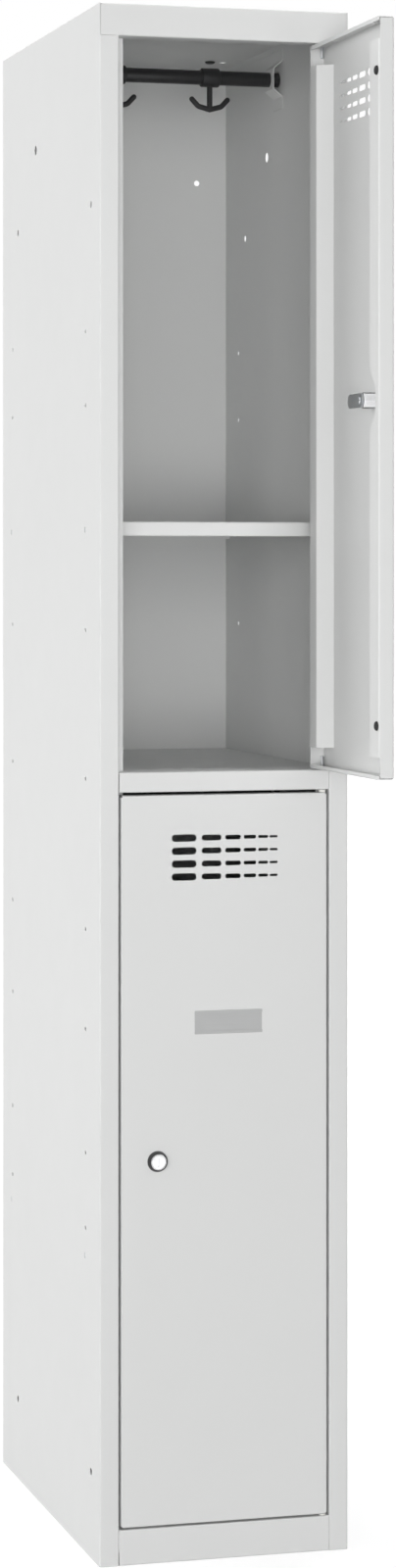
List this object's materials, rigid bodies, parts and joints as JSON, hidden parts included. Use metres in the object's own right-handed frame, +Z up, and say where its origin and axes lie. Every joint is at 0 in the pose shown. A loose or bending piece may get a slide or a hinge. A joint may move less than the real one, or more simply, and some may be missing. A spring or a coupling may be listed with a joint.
{
  "type": "two-tier school locker",
  "caption": "Tall folded-steel locker with an upper and a lower compartment, each with a vented pin-hinged door, cam lock, loose shelf, and a coat rail with sliding anchor hooks.",
  "frame": {"origin": "middle of the plinth's foot, the narrow flange under the locker's front, on the floor", "axes": "+Z up, +Y from the front to the back, +X to the right seen from the front; the doors hang at +X"},
  "size_m": [0.3, 0.74, 1.8],
  "materials": {
    "powder_grey": "light grey powder coat, fine orange peel",
    "label_grey": "satin mid grey",
    "black_coat": "semi-gloss black coat on steel tube",
    "black_plastic": "moulded black",
    "chrome": "polished",
    "zinc": "zinc-plated steel",
    "nylon": "natural white",
    "rubber": "matt black"
  },
  "bodies": {
    "cabinet": {"left_side": "powder_grey", "right_side": "powder_grey", "back_panel": "powder_grey", "top_panel": "powder_grey", "middle_shelf": "powder_grey", "bottom_panel": "powder_grey", "ceiling_plug": "black_plastic", "upper_shelf": "powder_grey", "upper_left_front_peg": "zinc", "upper_left_rear_peg": "zinc", "upper_right_front_peg": "zinc", "upper_right_rear_peg": "zinc", "upper_left_rail_bracket": "powder_grey", "upper_right_rail_bracket": "powder_grey", "lower_shelf": "powder_grey", "lower_left_front_peg": "zinc", "lower_left_rear_peg": "zinc", "lower_right_front_peg": "zinc", "lower_right_rear_peg": "zinc", "lower_left_rail_bracket": "powder_grey", "lower_right_rail_bracket": "powder_grey"},
    "upper_door_leaf": {"upper_door": "powder_grey", "upper_door_top_pin": "zinc", "upper_door_bottom_pin": "zinc", "upper_door_top_washer": "nylon", "upper_door_bottom_washer": "nylon", "upper_door_top_bumper": "rubber", "upper_door_bottom_bumper": "rubber", "upper_label_holder": "label_grey", "upper_lock_rosette": "black_plastic", "upper_lock_barrel": "chrome", "upper_lock_clip": "zinc"},
    "upper_lock_core": {"upper_lock_plug": "chrome", "upper_lock_cam": "zinc", "upper_cam_screw": "zinc"},
    "upper_coat_rail": {"upper_rail": "black_coat"},
    "upper_left_coat_hook": {"upper_left_hook": "black_plastic"},
    "upper_right_coat_hook": {"upper_right_hook": "black_plastic"},
    "lower_door_leaf": {"lower_door": "powder_grey", "lower_door_top_pin": "zinc", "lower_door_bottom_pin": "zinc", "lower_door_top_washer": "nylon", "lower_door_bottom_washer": "nylon", "lower_door_top_bumper": "rubber", "lower_door_bottom_bumper": "rubber", "lower_label_holder": "label_grey", "lower_lock_rosette": "black_plastic", "lower_lock_barrel": "chrome", "lower_lock_clip": "zinc"},
    "lower_lock_core": {"lower_lock_plug": "chrome", "lower_lock_cam": "zinc", "lower_cam_screw": "zinc"},
    "lower_coat_rail": {"lower_rail": "black_coat"},
    "lower_left_coat_hook": {"lower_left_hook": "black_plastic"},
    "lower_right_coat_hook": {"lower_right_hook": "black_plastic"}
  },
  "joints": [
    {"name": "upper_door_hinge", "type": "hinge", "parent": "cabinet", "child": "upper_door_leaf", "pos_m": [0.11975, -0.00575, 1.3376], "axis": [0, 0, 1], "range_deg": [-90, 15]},
    {"name": "lower_door_hinge", "type": "hinge", "parent": "cabinet", "child": "lower_door_leaf", "pos_m": [0.11975, -0.00575, 0.4651], "axis": [0, 0, 1], "range_deg": [0, 105]},
    {"name": "upper_lock_turn", "type": "hinge", "parent": "upper_door_leaf", "child": "upper_lock_core", "pos_m": [0.124, -0.2067, 1.3366], "axis": [-1, 0, 0], "range_deg": [0, 180]},
    {"name": "lower_lock_turn", "type": "hinge", "parent": "lower_door_leaf", "child": "lower_lock_core", "pos_m": [-0.0812, -0.01, 0.4641], "axis": [0, 1, 0], "range_deg": [0, 180]},
    {"name": "upper_rail_swing", "type": "hinge", "parent": "cabinet", "child": "upper_coat_rail", "pos_m": [0, 0.26, 1.756], "axis": [1, 0, 0], "range_deg": [-80, 80]},
    {"name": "lower_rail_swing", "type": "hinge", "parent": "cabinet", "child": "lower_coat_rail", "pos_m": [0, 0.26, 0.8695], "axis": [1, 0, 0], "range_deg": [-80, 80]},
    {"name": "upper_left_hook_slide", "type": "slide", "parent": "upper_coat_rail", "child": "upper_left_coat_hook", "axis": [1, 0, 0], "range_m": [-0.05, 0.032]},
    {"name": "upper_right_hook_slide", "type": "slide", "parent": "upper_coat_rail", "child": "upper_right_coat_hook", "axis": [1, 0, 0], "range_m": [-0.032, 0.05]},
    {"name": "lower_left_hook_slide", "type": "slide", "parent": "lower_coat_rail", "child": "lower_left_coat_hook", "axis": [1, 0, 0], "range_m": [-0.05, 0.032]},
    {"name": "lower_right_hook_slide", "type": "slide", "parent": "lower_coat_rail", "child": "lower_right_coat_hook", "axis": [1, 0, 0], "range_m": [-0.032, 0.05]}
  ]
}
